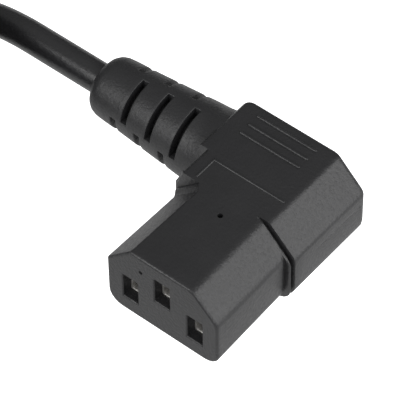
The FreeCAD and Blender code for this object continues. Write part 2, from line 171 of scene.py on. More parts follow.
def bumped(tree, shader, height, distance, strength, under=None):
    """A bump whose distance is in metres, laid over another bump if there is one."""
    bump = tree.nodes.new("ShaderNodeBump")
    bump.inputs["Distance"].default_value = distance
    bump.inputs["Strength"].default_value = strength
    tree.links.new(height, bump.inputs["Height"])
    if under:
        tree.links.new(under, bump.inputs["Normal"])
    tree.links.new(bump.outputs["Normal"], shader.inputs["Normal"])
    return bump.outputs["Normal"]


# %% Moulded blacks
MOTTLES_PER_M = 160
GRAINS_PER_M = 1900
WAVES_PER_M = 90
GRAIN_DEPTH = 0.18 * MM
WAVE_DEPTH = 0.1 * MM
WAVE_STRENGTH = 0.12
HARD = ((0.0105, 0.0105, 0.0115), (0.0140, 0.0140, 0.0150))
SOFT = ((0.0110, 0.0110, 0.0120), (0.0150, 0.0150, 0.0160))
WOVEN = ((0.010, 0.010, 0.011), (0.018, 0.018, 0.019))


def moulded(name, colours, roughness, grain):
    """Moulded plastic: mottled colour and gloss, fine grain, and a slow waviness. Both bumps
    are noise times a depth times a strength, the fine one laid over the slow one."""
    material, tree, shader = new_material(name, colours[0], roughness[0])
    mottle = object_noise(tree, MOTTLES_PER_M, 4)
    fine = object_noise(tree, GRAINS_PER_M, 2)
    tree.links.new(tinted(tree, mottle, colours), shader.inputs["Base Color"])
    tree.links.new(spread(tree, fine, *roughness), shader.inputs["Roughness"])
    waves = object_noise(tree, WAVES_PER_M, 2)
    slow = bumped(tree, shader, waves, WAVE_DEPTH, WAVE_STRENGTH)
    bumped(tree, shader, fine, GRAIN_DEPTH, grain, slow)
    return material


NOSE_BLACK = moulded("nose_black", HARD, (0.35, 0.45), 0.45)
HOOD_BLACK = moulded("hood_black", HARD, (0.35, 0.45), 0.45)
BOOT_BLACK = moulded("boot_black", SOFT, (0.42, 0.52), 0.40)
JACKET_BLACK = moulded("jacket_black", SOFT, (0.30, 0.40), 0.30)
STRAP_BLACK = moulded("strap_black", WOVEN, (0.70, 0.85), 0.80)
blacks = (NOSE_BLACK, HOOD_BLACK, BOOT_BLACK, JACKET_BLACK, STRAP_BLACK)
print("blacks:", [m.name for m in blacks])

# %% Metals and cores
STREAKS_PER_M = 900
STREAK_STRETCH = (1.0, 0.05, 1.0)
STREAK_DEPTH = 0.01 * MM
CORE_SHADE = 0.8


def drawn_metal(name, colour, shade, roughness):
    """Rolled strip: long thin streaks along Y in its colour and gloss."""
    material, tree, shader = new_material(name, colour, roughness[0], 1.0)
    streaks = object_noise(tree, STREAKS_PER_M, 3, 0.6, STREAK_STRETCH)
    tree.links.new(tinted(tree, streaks, (shade, colour)), shader.inputs["Base Color"])
    tree.links.new(spread(tree, streaks, *roughness), shader.inputs["Roughness"])
    bumped(tree, shader, streaks, STREAK_DEPTH, 0.3)
    return material


CONTACT_METAL = drawn_metal(
    "contact_metal", (0.60, 0.59, 0.57), (0.44, 0.43, 0.41), (0.52, 0.66)
)
BLADE_METAL = drawn_metal(
    "blade_metal", (0.74, 0.70, 0.58), (0.62, 0.57, 0.44), (0.20, 0.34)
)
COPPER = drawn_metal("copper_strands", (0.72, 0.40, 0.26), (0.55, 0.28, 0.17), (0.3, 0.42))


def core_insulation(name, colour):
    """Smooth insulation with a slight mottling, from CORE_SHADE times its colour up to it."""
    dark = tuple(CORE_SHADE * c for c in colour)
    return moulded(name, (dark, colour), (0.34, 0.44), 0.2)


CORE_BROWN = core_insulation("core_brown", (0.16, 0.07, 0.03))
CORE_BLUE = core_insulation("core_blue", (0.05, 0.13, 0.40))
CORE_GREEN = core_insulation("core_green", (0.15, 0.40, 0.06))
others = (CONTACT_METAL, BLADE_METAL, COPPER, CORE_BROWN, CORE_BLUE, CORE_GREEN)
print("metals and cores:", [m.name for m in others])

# %% [markdown]
# ## Surfaces from rings
# Moulded pieces have a section that changes slowly along one line, because they have
# to slide out of their mould. They could be carved from blocks, but then every rounded
# edge is a guess of a bevel. Here a piece is a stack of rings with the same number of
# points each. The rings are joined by quads, and the first and last are closed by a
# flat cap, so an edge's rounding is simply a few rings that follow a quarter circle.

# %% Ring helpers


def drawn_in(ring, distance=0.04):
    """A ring moved towards its middle by a distance: p + d (m - p) / |m - p|."""
    way = ring.mean(axis=0) - ring
    return ring + distance * way / np.linalg.norm(way, axis=1, keepdims=True)


def ring_mesh(name, rings, material, caps=True, smooth_angle=35.0):
    """Skin over rings[i, j] = point j of ring i, in mm; its faces turn outwards. A cap gets
    a ring of its own, drawn in by a little, so that its flat middle is shaded flat."""
    rings = np.asarray(rings, float)
    if caps:
        first, last = (drawn_in(rings[i]) for i in (0, -1))
        rings = np.concatenate([first[None], rings, last[None]])
    count, around = rings.shape[:2]
    ids = np.arange(count * around).reshape(count, around)
    after = np.roll(ids, -1, axis=1)
    quads = np.stack([ids[:-1], after[:-1], after[1:], ids[1:]], axis=-1).reshape(-1, 4)
    faces = quads.tolist()
    if caps:
        faces += [ids[0].tolist(), ids[-1].tolist()]
    data = bpy.data.meshes.new(name)
    data.from_pydata((rings.reshape(-1, 3) * MM).tolist(), [], faces)
    data.materials.append(material)
    tidy_mesh(data, smooth_angle)
    piece = placed(name, data)
    return piece


def tell(*pieces):
    """Print how many faces each piece has."""
    for piece in pieces:
        print(f"{piece.name}, faces:", len(piece.data.polygons))


def tidy_mesh(data, smooth_angle):
    """Merge doubles, turn the faces outwards and shade flat only over sharp edges."""
    work = bmesh.new()
    work.from_mesh(data)
    bmesh.ops.remove_doubles(work, verts=work.verts, dist=1e-6)
    bmesh.ops.recalc_face_normals(work, faces=work.faces)
    work.to_mesh(data)
    work.free()
    data.shade_smooth()
    data.set_sharp_from_angle(angle=math.radians(smooth_angle))


def rounded(corners, steps=5):
    """A loop: each corner (x, z, r) is an arc of radius r from side to side. The arc starts
    r tan(turn / 2) before the corner and turns to the side that the loop turns to."""
    spec = np.asarray(corners, float)
    point, radius = spec[:, :2], spec[:, 2]
    into = point - np.roll(point, 1, axis=0)
    into /= np.linalg.norm(into, axis=1, keepdims=True)
    out = np.roll(into, -1, axis=0)
    turn = np.arctan2(
        into[:, 0] * out[:, 1] - into[:, 1] * out[:, 0], (into * out).sum(axis=1)
    )
    side = np.stack([into[:, 1], -into[:, 0]], axis=1) * np.where(turn < 0, -1, 1)[:, None]
    start = point - into * (radius * np.tan(abs(turn) / 2))[:, None]
    centre = start - side * radius[:, None]
    share = np.linspace(0, 1, steps + 1)
    angle = np.arctan2(side[:, 1], side[:, 0])[:, None] + turn[:, None] * share
    arc = np.stack([np.cos(angle), np.sin(angle)], axis=-1)
    return (centre[:, None] + arc * radius[:, None, None]).reshape(-1, 2)


def across(loop, y):
    """A loop of (x, z) set across Y."""
    return np.stack([loop[:, 0], np.full(len(loop), y), loop[:, 1]], axis=1)


def carved(piece, cutters, smooth_angle=35.0):
    """Take the cutters out of a piece, then delete them."""
    for cutter in cutters:
        cut = piece.modifiers.new("cut", "BOOLEAN")
        cut.operation = "DIFFERENCE"
        cut.solver = "EXACT"
        cut.object = cutter
    bpy.context.view_layer.update()
    shown = piece.evaluated_get(bpy.context.evaluated_depsgraph_get())
    data = bpy.data.meshes.new_from_object(shown)
    piece.modifiers.clear()
    piece.data = data
    for cutter in cutters:
        bpy.data.objects.remove(cutter)
    data.shade_smooth()
    data.set_sharp_from_angle(angle=math.radians(smooth_angle))
    return piece


def soft_edges(piece, width, angle=50.0, segments=3):
    """Break the sharp edges that are left, over an angle."""
    bevel = piece.modifiers.new("soft_edges", "BEVEL")
    bevel.width = width * MM
    bevel.segments = segments
    bevel.limit_method = "ANGLE"
    bevel.angle_limit = math.radians(angle)
    bevel.harden_normals = True
    return piece


# %% [markdown]
# ## The nose
# The nose is the hard block that goes into the inlet. Its section is a rectangle
# with two upper corners cut off, so that it fits one way up only, and two lower ones
# rounded. It narrows a little towards the back. There a groove, a thin bead and a gap
# part it from the hood on the right, where the cut corner runs on evenly, and on the
# left it swells smoothly into the hood's lip. The bead is half a round of rings, and the
# swelling a smooth step: both are functions of the place along Y alone, so one list of
# rings makes the whole block.

# %% Nose section
FACE_HALF = (12.0, 8.2)
FACE_CHAMFER = 5.3
FACE_RADIUS = 2.8
FACE_SLOPE = sum(FACE_HALF) - FACE_CHAMFER
TOP = FACE_HALF[1]
NOSE_LENGTH = 17.9
NOSE_DRAFT = 0.3
NOSE_SOFT = (2.3, 0.6)
NOSE_ROOT = 3.1
EDGE_ROUND = 0.5
MARK_HALF = 0.16
MARK_ROUND = 0.04
BLEND_FROM = 17.2
BLEND_RISE = 0.8
SEAM_Y = 19.0
SEAM_INSET = 0.9
GROOVE_GROWTH = -0.5
BEAD_FROM = 18.5
BEAD_GROWTH = (0.2, 0.5)
COLLAR_CUT = -0.28
POLES = {"line": (7.0, -2.0), "neutral": (-7.0, -2.0), "earth": (0.0, 2.0)}
SLOT = (3.3, 5.8)


def section(left, right, low, top, slope, top_left, side_left, radius, line=0.0, soft=(1.2, 0.8)):
    """The head's section: a corner is cut where x + z = slope on the right and between
    (top_left, top) and (-left, side_left) on the left, with soft radii at their ends. The
    parting line stands out by line at z = 0, or sinks in where line is negative."""
    mark, r = MARK_HALF, MARK_ROUND
    return rounded([
        (-left, low[0], radius), (right, low[1], radius),
        (right, -mark, r), (right + line, 0, r), (right, mark, r),
        (right, slope - right, soft[0]), (slope - top, top, soft[0]),
        (top_left, top, soft[1]), (-left, side_left, soft[1]),
        (-left, mark, r), (-left - line, 0, r), (-left, -mark, r),
    ])


def nose_loop(right, left=None, top=TOP, cut=None):
    """The face's section grown by one distance on the right, another on the left and a
    third across the cut corner on the right."""
    left = right if left is None else left
    cut = right if cut is None else cut
    slope = FACE_SLOPE + left * math.sqrt(2)
    return section(
        FACE_HALF[0] + left, FACE_HALF[0] + right, (-TOP - min(left, 0), -TOP - min(right, 0)),
        top, FACE_SLOPE + math.sqrt(2) * cut, top - slope,
        slope - FACE_HALF[0] - left, FACE_RADIUS, 0.0, NOSE_SOFT,
    )


def rounded_end(radius, steps=5):
    """(distance, inset) along a quarter round: radius (1 - cos a) in, radius (1 - sin a) less."""
    a = np.linspace(0, math.pi / 2, steps + 1)
    return list(zip(radius * (1 - np.cos(a)), radius * (1 - np.sin(a))))


def left_growth(y):
    """The draft, and near the lip a smooth rise: -d y / L + r s s (3 - 2 s)."""
    s = np.clip((y - BLEND_FROM) / (SEAM_Y - BLEND_FROM), 0, 1)
    return -NOSE_DRAFT * y / NOSE_LENGTH + BLEND_RISE * s * s * (3 - 2 * s)


def make_nose():
    """Rings along Y: a quarter round at the face, a straight draft, a groove and the bead of
    the collar on the right while the left swells into the hood's lip, and a root that is sunk
    into the hood. The cut corner stays flush. Bead: y = from + (1 - cos a) / 2 length, and its
    rise is low + high sin a."""
    rings = [across(nose_loop(-i, top=TOP - i), y) for y, i in rounded_end(EDGE_ROUND)]
    for y in (0.9, 6.0, 12.0, BLEND_FROM, 17.5, NOSE_LENGTH - 0.05):
        rings.append(across(nose_loop(-NOSE_DRAFT * y / NOSE_LENGTH, left_growth(y)), y))
    for y in (NOSE_LENGTH, BEAD_FROM - 0.05):
        rings.append(across(nose_loop(GROOVE_GROWTH, left_growth(y), cut=COLLAR_CUT), y))
    for a in np.linspace(0, math.pi, 9):
        y = BEAD_FROM + (1 - math.cos(a)) / 2 * (SEAM_Y - BEAD_FROM)
        rise = BEAD_GROWTH[0] + BEAD_GROWTH[1] * math.sin(a)
        rings.append(across(nose_loop(rise, left_growth(y), cut=COLLAR_CUT), y))
    for y in (SEAM_Y + HAIR, SEAM_Y + NOSE_ROOT):
        rings.append(across(nose_loop(-SEAM_INSET, top=TOP - HAIR), y))
    return ring_mesh("nose", rings, NOSE_BLACK, smooth_angle=30)


nose = make_nose()
tell(nose)

# %% [markdown]
# The three slots, the small pin mark on the top and the dimple in the face are holes
# that cores and pins of the mould have left. A grid of rings can't have holes across
# its own direction, so these are cut out of the block. A slot's mouth widens by a fine
# funnel all round, which guides a blade and catches light.

# %% Slots and marks
SLOT_ROUND = 0.2
SLOT_STATIONS = ((-1.0, 0.22), (0.0, 0.22), (0.08, 0.1), (0.25, 0.0), (13.6, 0.0))
PIN_MARK_AT = (0.0, 15.6, TOP)
PIN_MARK_STATIONS = ((-1.0, 0.55), (0.25, 0.5), (1.4, 0.42))
DIMPLE_AT = (-4.5, 0.0, 4.5)
DIMPLE_STATIONS = ((-1.0, 0.42), (0.05, 0.4), (0.4, 0.3))


def box_loop(half_width, half_height, radius, steps):
    """A rectangle of (x, z) round the origin, its corners rounded."""
    w, h = half_width, half_height
    return rounded([(-w, -h, radius), (w, -h, radius), (w, h, radius), (-w, h, radius)], steps)


def cutter(rings):
    """A closed skin that is used as a cutter."""
    return ring_mesh("cutter", rings, NOSE_BLACK)


def slot_cutter(x, z):
    """A straight channel through the face whose mouth widens by a small funnel."""
    rings = []
    for y, grow in SLOT_STATIONS:
        loop = box_loop(SLOT[0] / 2 + grow, SLOT[1] / 2 + grow, SLOT_ROUND, 3)
        rings.append(across(loop + (x, z), y))
    return cutter(rings)


def round_cutter(centre, direction, stations, sides=24):
    """A turned cutter from (distance, radius) stations along a direction."""
    turn = np.linspace(0, 2 * math.pi, sides, endpoint=False)
    along = np.array(direction, float)
    first = np.cross(along, (1.0, 0.3, 0.2))
    first /= np.linalg.norm(first)
    second = np.cross(along, first)
    rim = np.cos(turn)[:, None] * first + np.sin(turn)[:, None] * second
    rings = [np.array(centre) + along * d + rim * r for d, r in stations]
    return cutter(rings)


marks = [slot_cutter(x, z) for x, z in POLES.values()]
marks.append(round_cutter(PIN_MARK_AT, (0, 0, -1), PIN_MARK_STATIONS))
marks.append(round_cutter(DIMPLE_AT, (0, 1, 0), DIMPLE_STATIONS))
carved(nose, marks, smooth_angle=25.0)
soft_edges(nose, 0.06)
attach(nose, "root")
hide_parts("connector_nose")
tell(nose)

# %% [markdown]
# ## The contacts
# Each slot holds a box folded from strip. Its front edge is a thin bright rim a
# little behind the face, and two leaves pressed into its sides grip a blade. Behind
# the box a neck leads to a barrel that is crimped round the strands. Walls could be
# thickened by a modifier, but the rim is what the eye sees in the slot, so the box is
# one skin instead: along the outside to the rim, over it, and back along the inside,
# where the side walls swell inwards.

# %% Folded contacts
SHEET = 0.45
CONTACT_FRONT = 2.05
CONTACT_BACK = 13.45
LEAF_FROM = 4.6
LEAF_TO = 12.2
LEAF_RISE = 0.35
LEAF_HALF = 1.9
BOX_ROUND = 0.25
BARREL_FROM = 20.0
BARREL_TO = 24.0
NECK_SIZE = (0.8, 0.2)
BARREL_SIZE = (1.1, 1.0)
CRIMP_SIZE = (0.98, 0.9)
BORE_SIZE = (0.75, 0.7)


def box_ring(x, z, grow, y, swell=0.0, rows=9):
    """The slot's section grown by a distance. The middle of both upright sides swells in
    by swell (1 - (z / LEAF_HALF)^4), z being the height over the middle."""
    w, h = SLOT[0] / 2 + grow, SLOT[1] / 2 + grow
    side = np.linspace(BOX_ROUND - h, h - BOX_ROUND, rows)
    corners = box_loop(w, h, BOX_ROUND, 4)
    right = np.column_stack([np.full(rows, w), side])
    loop = np.concatenate([corners[:10], right, corners[10:], right[::-1] * (-1, 1)])
    share = np.clip(1 - (loop[:, 1] / LEAF_HALF) ** 4, 0, 1)
    loop[:, 0] -= np.sign(loop[:, 0]) * swell * share
    return across(loop + (x, z), y)


def contact_box(name, x, z):
    """Out along the box's outside to the rim, over it, and back along the inside, where a
    leaf rises from both sides by rise (1 - cos 2 pi s) / 2 over its length."""
    rim = [(0.2, 0.0), (0.05, -0.04), (0.0, -0.1), (0.0, 0.1 - SHEET), (0.05, 0.04 - SHEET)]
    skin = [(CONTACT_BACK, 0.0)] + [(CONTACT_FRONT + y, grow) for y, grow in rim]
    rings = [box_ring(x, z, grow - 0.01, y) for y, grow in skin]
    for y in np.linspace(CONTACT_FRONT + 0.15, CONTACT_BACK - SHEET, 18):
        share = np.clip((y - LEAF_FROM) / (LEAF_TO - LEAF_FROM), 0, 1)
        swell = LEAF_RISE * (1 - math.cos(2 * math.pi * share)) / 2
        rings.append(box_ring(x, z, -SHEET, y, swell))
    return ring_mesh("contact_box_" + name, rings, CONTACT_METAL)


def contact_tail(name, x, z):
    """A neck and a barrel that is pressed in at its middle, round an open bore."""
    stations = [
        (CONTACT_BACK, NECK_SIZE), (BARREL_FROM - 0.4, NECK_SIZE),
        (BARREL_FROM, BARREL_SIZE), (BARREL_FROM + 0.8, BARREL_SIZE),
        (BARREL_FROM + 1.2, CRIMP_SIZE), (BARREL_TO - 1.2, CRIMP_SIZE),
        (BARREL_TO - 0.8, BARREL_SIZE), (BARREL_TO, BARREL_SIZE),
        (BARREL_TO, BORE_SIZE), (BARREL_FROM + 0.4, BORE_SIZE),
    ]
    rings = [across(box_loop(w, w, r, 5) + (x, z), y) for y, (w, r) in stations]
    return ring_mesh("contact_tail_" + name, rings, CONTACT_METAL)


def make_contact(name, x, z):
    """Both pieces of one contact, which stand for its one solid."""
    box = contact_box(name, x, z)
    for piece in (box, contact_tail(name, x, z)):
        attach(piece, "root")
        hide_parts("contact_" + name)
    return box


contact_boxes = [make_contact(name, x, z) for name, (x, z) in POLES.items()]
tell(*contact_boxes)

# %% [markdown]
# ## The hood
# The hood is the soft block that is moulded round the wires where the cord turns
# aside. Seen from the face it is a little wider than the nose, with a cut corner above
# on the right. On the left its front third leans in, and behind that a full shoulder
# carries the boot. The section keeps its number of points all the way: how far it leans
# goes from 1 to 0 over a few rings, and that alone makes the step of the shoulder. The
# two halves of the mould leave a fine line, pressed in at the middle of the side.

# %% Hood block
HOOD_HALF = 13.1
HOOD_FRONT = 19.5
HOOD_BACK = 39.2
HOOD_CHAMFER = 5.65
HOOD_SLOPE = HOOD_HALF + TOP - HOOD_CHAMFER
HOOD_RADIUS = 3.6
HOOD_EDGE = 0.06
HOOD_CORNER = 1.2
HOOD_SOFT = (1.6, 0.9)
CUT_FOLLOW = (1.2, 0.9, 1.1)
BACK_SINK = 0.35
FULL_CORNER = (-12.5, 7.55)
LEAN_CORNER = (-11.0, 4.0)
SHOULDER_Y = 25.8
LIP = (12.6, 10.9, FACE_SLOPE - 1.5)
LIP_BOTTOM = (0.15 - TOP, -7.0)
PARTING_DEPTH = 0.2


def hood_loop(lean, inset=0.0, sink=0.0, line=0.0):
    """The hood's section: lean goes from 0, a full shoulder on the left, to 1, and inset
    and sink draw in its sides and its top and bottom, while the cut corners follow by
    CUT_FOLLOW times that. The corner on the left: full + lean (lean corner - full corner)."""
    top_left, side_left = (a + lean * (b - a) for a, b in zip(FULL_CORNER, LEAN_CORNER))
    half = HOOD_HALF - inset
    right_cut, top_cut, side_cut = CUT_FOLLOW
    return section(
        half, half, (sink - TOP, sink - TOP), TOP - sink, HOOD_SLOPE - inset * right_cut,
        top_left + top_cut * inset, side_left - side_cut * sink, HOOD_RADIUS, line, HOOD_SOFT,
    )


def lip_loop(inset):
    """In front of the seam only the left of the hood shows, and the rest hides in the nose."""
    left, right, slope = LIP
    low = (LIP_BOTTOM[0] + max(inset, 0), LIP_BOTTOM[1])
    top_left, side_left = LEAN_CORNER
    return section(
        left - inset, right, low, TOP, slope, top_left + inset, side_left, HOOD_RADIUS
    )


def make_hood():
    """Rings along Y: the lip over the nose, the leaning front, the step of the shoulder
    within 0.5 mm, the full block with its parting line, and a rounded back edge."""
    lip = [(0.0, 0.2), (0.04, 0.09), (0.12, 0.02), (0.25, 0.0)]
    rings = [across(lip_loop(i), SEAM_Y + y) for y, i in lip]
    rings.append(across(lip_loop(-0.35), HOOD_FRONT - HAIR))
    front = rounded_end(HOOD_EDGE, 2)
    rings += [across(hood_loop(1.0, i), HOOD_FRONT + y) for y, i in front]
    rings += [across(hood_loop(1.0), y) for y in (22.0, 24.0, SHOULDER_Y - 0.25)]
    line = -PARTING_DEPTH
    steps = [(-0.12, 1.0), (0.0, 0.85), (0.05, 0.2), (0.2, 0.03), (0.4, 0.0)]
    rings += [across(hood_loop(lean, line=line), SHOULDER_Y + y) for y, lean in steps]
    rings += [across(hood_loop(0.0, line=line), y) for y in (28.0, 31.0, 34.0, 37.2)]
    rings.append(across(hood_loop(0.0), 37.5))
    back = rounded_end(HOOD_CORNER, 7)[::-1]
    rings += [across(hood_loop(0.0, i, BACK_SINK * i), HOOD_BACK - y) for y, i in back]
    return ring_mesh("hood", rings, HOOD_BLACK, smooth_angle=30)


hood = make_hood()
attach(hood, "root")
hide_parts("connector_hood")
tell(hood)

# %% [markdown]
# ## Grip bars and frame lines
# Three raised bars on the top help a thumb to pull, and a thin raised line frames a
# bare place beside them. In the mould they are grooves made by a ball cutter, so their
# ends are round and their tops too. Each is a low pill: a stadium outline that steps in
# as it rises. A bump in the finish would give the same light but no edge against the
# sky, so they are real relief.

# %% Raised bars
GRIP_X = (-8.9, 3.65)
GRIP_Y = (32.2, 34.5, 36.9)
GRIP_SIZE = (0.6, 0.29)
FRAME_SIZE = (0.44, 0.15)
FRAME_CORNER = (-8.6, 24.6)
FRAME_RIGHT = 6.4
FRAME_FRONT = 19.95


def raised_bar(name, start, end, size, sink=0.2):
    """A stadium between two points of the top, size being its width and its rise: half
    circles of radius half (1 - shrink) round both ends, smaller as the bar rises."""
    start, end = np.array(start, float), np.array(end, float)
    along = (end - start) / np.linalg.norm(end - start)
    side = np.array([-along[1], along[0]])
    turn = np.linspace(-math.pi / 2, math.pi / 2, 9)
    half, rise = size[0] / 2, size[1]
    levels = [(-sink, 0.0), (0.02, 0.0), (rise * 0.5, 0.2), (rise * 0.85, 0.42), (rise, 0.7)]
    rings = []
    for height, shrink in levels:
        r = half * (1 - shrink)
        cap = np.cos(turn)[:, None] * along + np.sin(turn)[:, None] * side
        loop = np.concatenate([end + cap * r, start - cap * r])
        rings.append(np.column_stack([loop, np.full(len(loop), TOP + height)]))
    bar = ring_mesh(name, rings, HOOD_BLACK)
    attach(bar, "root")
    return bar


for i, y in enumerate(GRIP_Y):
    raised_bar(f"grip_bar_{i}", (GRIP_X[0], y), (GRIP_X[1], y), GRIP_SIZE)
raised_bar("frame_line_back", FRAME_CORNER, (FRAME_RIGHT, FRAME_CORNER[1]), FRAME_SIZE)
raised_bar("frame_line_side", FRAME_CORNER, (FRAME_CORNER[0], FRAME_FRONT), FRAME_SIZE)
print("raised bars:", len(GRIP_Y) + 2)

# %% [markdown]
# ## The slotted boot
# The boot lets the cord bend gently where it leaves the hood. It is a turned form,
# thin at the free end, with short slots that take turns in four quarters, so that
# every section keeps a solid bridge. Cutting two dozen slots out of a solid would
# leave sharp rims and long thin faces. So the surface is one grid over place and angle:
# the turned profile's radius, less the depth of the slots at that place and angle. The
# rims come from a quarter round in that depth, and the grid has extra lines just there.

# %% Boot
BOOT_Y = 32.1
BOOT_END = -39.9
BOOT_HALF_HEIGHT = 8.1
BOOT_PROFILE = np.array([
    (0.0, 3.02), (0.1, 3.75), (0.35, 4.55), (0.8, 5.2), (1.4, 5.65), (2.2, 5.92), (3.3, 6.05),
    (4.9, 6.15), (6.9, 6.24), (12.4, 6.67), (17.9, 7.1), (21.3, 7.4), (24.5, 7.6), (27.4, 8.1),
])
END_LINES = (0.05, 0.1, 0.2, 0.35, 0.55, 0.8, 1.1, 1.4, 1.8, 2.2, 2.7)
RIM_LINES = np.array([-0.2, -0.12, -0.06, -0.02, -0.004, 0.0, 0.004, 0.02, 0.06, 0.12, 0.2])
RIM_DEGREES_PER_MM = 9.0
SLIT_HALF = 0.65
SLIT_DEPTH = 2.2
SLIT_ROUND = 0.2
SLITS_FRONT_TOP = (9.6, 15.4, 21.4)
SLITS_FRONT_BOTTOM = (7.05, 12.85, 18.8)
SLIT_ARCS = ((2.0, 80.0), (5.0, 89.0), (3.0, 88.0), (2.0, 88.0))
SLIT_TURN = 7.0


def near(values, edges, offsets):
    """The values with extra ones at every edge plus every offset, in order."""
    extra = (np.asarray(edges)[:, None] + np.asarray(offsets)).ravel()
    return np.unique(np.round(np.concatenate([values, extra]), 5))


def outside(values, low, high):
    """How far each value is outside a range, 0 inside it."""
    return np.maximum(np.maximum(low - values, values - high), 0)


def slit_depth(place, angle, rows, quarter, radius):
    """How deep the slots of one quarter cut over a grid of places and angles. With d the
    distance to the slot and f its rim's radius: the full depth where d = 0, and
    f - sqrt(f f - (f - d)^2) on the rim, which is a quarter round."""
    low, high = SLIT_ARCS[quarter]
    turned = (angle + SLIT_TURN - 90 * quarter) % 360
    turned = np.where(turned > 225, turned - 360, turned)
    around = np.radians(outside(turned, low, high))[None] * radius
    depth = np.zeros(radius.shape)
    for row in rows:
        along = outside(place, row - SLIT_HALF, row + SLIT_HALF)[:, None]
        d = np.hypot(along, around)
        left = SLIT_ROUND - np.clip(d, 0, SLIT_ROUND)
        rim = SLIT_ROUND - np.sqrt(SLIT_ROUND**2 - left**2)
        depth = np.maximum(depth, np.where(d < 0.002, SLIT_DEPTH, rim))
    return depth


def boot_rings(profile, front_bottom, front_top):
    """Radius over (place, angle): the profile less the slots of the four quarters. The grid
    has even lines, more at the free end, and more again round each slot's rim."""
    length = profile[-1, 0]
    walls = [s + side * SLIT_HALF for s in front_bottom + front_top for side in (-1, 1)]
    even = np.append(np.linspace(0, length, 28), END_LINES)
    place = near(even, walls, RIM_LINES)
    place = place[(place >= 0) & (place <= length)]
    ends = [90 * q + a - SLIT_TURN for q in range(4) for a in SLIT_ARCS[q]]
    turns = RIM_LINES * RIM_DEGREES_PER_MM
    angle = np.unique(near(np.arange(0, 360, 5.0), ends, turns) % 360)
    radius = np.interp(place, profile[:, 0], profile[:, 1])[:, None] * np.ones(len(angle))
    depth = np.zeros(radius.shape)
    for quarter in range(4):
        rows = front_bottom if quarter % 2 == 0 else front_top
        depth = np.maximum(depth, slit_depth(place, angle, rows, quarter, radius))
    return place, np.radians(angle), radius - depth


def make_boot():
    """The grid round the boot's axis: x = end + place, y and z = radius (cos, sin) angle,
    held inside the hood's back and between its top and bottom."""
    place, angle, radius = boot_rings(BOOT_PROFILE, SLITS_FRONT_BOTTOM, SLITS_FRONT_TOP)
    x = BOOT_END + place[:, None] * np.ones(len(angle))
    y = np.minimum(BOOT_Y + radius * np.cos(angle), HOOD_BACK - 0.05)
    z = np.clip(radius * np.sin(angle), -BOOT_HALF_HEIGHT, BOOT_HALF_HEIGHT)
    rings = np.stack([x, y, z], axis=-1)
    return ring_mesh("boot", rings, BOOT_BLACK, smooth_angle=40)


boot = make_boot()
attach(boot, "root")
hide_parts("connector_hood")
tell(boot)

# %% [markdown]
# ## The cord
# A new cord comes coiled and tied. It is one smooth line: out of the boot, down to
# the surface, round a coil of stacked turns, and up into the plug's boot. It could be
# drawn by hand, but a drawn coil never keeps its spacing. Here the control points
# follow the solids: a loop lays 16 points on each turn and steps the radius and the
# height in short changes between turns. The circle is slightly larger than the turn,
# because the spline passes inside its points.

# %% Route
CORD = 6.0
COIL_CENTRE = np.array([-88.5, -5.9])
COIL_START = 90
POINTS_PER_TURN = 16
SPLINE_SHRINK = 0.981
LEAD = [
    (-39.9, 32.1, 0.0), (-50.9, 32.1, 0.0), (-61.9, 32.1, 0.0),
    (-71.9, 32.1, -2.7), (-80.9, 32.1, -4.9),
]
TURNS = [(38, 3), (32, 3), (26, 3), (26, 9), (32, 9), (38, 9), (38, 15), (32, 15)]
CHANGES = (38, 38, 24, 10, 10, -4, -18)
CHANGE_SWEEP = 36
TAIL_RISE = (-0.25, 0.35, 3.0, 5.9, 7.9, 9.2, 10.14)
TAIL_RADIUS = 31.9
TAIL_RUN = 12.8
PLUG_TILT = math.radians(7.0)
PLUG_AXIS = np.array([-math.cos(PLUG_TILT), 0.0, math.sin(PLUG_TILT)])


def on_coil(angle, radius, height):
    """A point at an angle in degrees, a radius and a height above the floor."""
    a = np.radians(angle)
    return (
        COIL_CENTRE[0] + radius * np.cos(a), COIL_CENTRE[1] + radius * np.sin(a), FLOOR + height
    )


def coil_points(count):
    """Radius and height step from turn to turn inside short changes: both are straight
    lines over the travelled angle, and the angle grows by 360 / POINTS_PER_TURN."""
    begin = np.array(CHANGES) - COIL_START + 360 * np.arange(1, len(TURNS))
    travel = np.append(0, np.stack([begin, begin + CHANGE_SWEEP], axis=1))
    radii, heights = np.repeat(TURNS, 2, axis=0)[:-1].T
    step = 360 / POINTS_PER_TURN
    here = step / 2 + step * np.arange(count)
    radius = np.interp(here, travel, radii) / SPLINE_SHRINK
    height = np.interp(here, travel, heights)
    return [on_coil(COIL_START + t, r, h) for t, r, h in zip(here, radius, height)]


def tail_points():
    """The last turn lifts off by TAIL_RISE, one point a step, and ends along the plug's
    axis. Its points lie radius / cos(step / 2) out, so that the spline keeps the radius."""
    step = 360 / POINTS_PER_TURN
    radius = TAIL_RADIUS / math.cos(math.radians(step / 2))
    first = COIL_START + step / 2 - len(TAIL_RISE) * step
    top = TURNS[-1][1]
    points = [on_coil(first + i * step, radius, top + rise) for i, rise in enumerate(TAIL_RISE)]
    return points, points[-1] + PLUG_AXIS * TAIL_RUN


tail, cord_end = tail_points()
turn_points = len(TURNS) * POINTS_PER_TURN - len(tail)
route = LEAD + [on_coil(COIL_START, *TURNS[0])] + coil_points(turn_points)
route += tail + [tuple(cord_end)]


def make_cord():
    """A round spline of order 3 through the route's control points, with closed ends."""
    data = bpy.data.curves.new("cord", "CURVE")
    data.dimensions = "3D"
    data.bevel_depth = CORD / 2 * MM
    data.bevel_resolution = 8
    data.use_fill_caps = True
    spline = data.splines.new("NURBS")
    spline.points.add(len(route) - 1)
    flat = np.column_stack([np.array(route) * MM, np.ones(len(route))])
    spline.points.foreach_set("co", flat.ravel())
    spline.order_u = 3
    spline.use_endpoint_u = True
    spline.resolution_u = 8
    data.materials.append(JACKET_BLACK)
    piece = placed("cord", data)
    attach(piece, "root")
    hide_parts("cord_lead", "cord_coil", "cord_tail")
    return piece


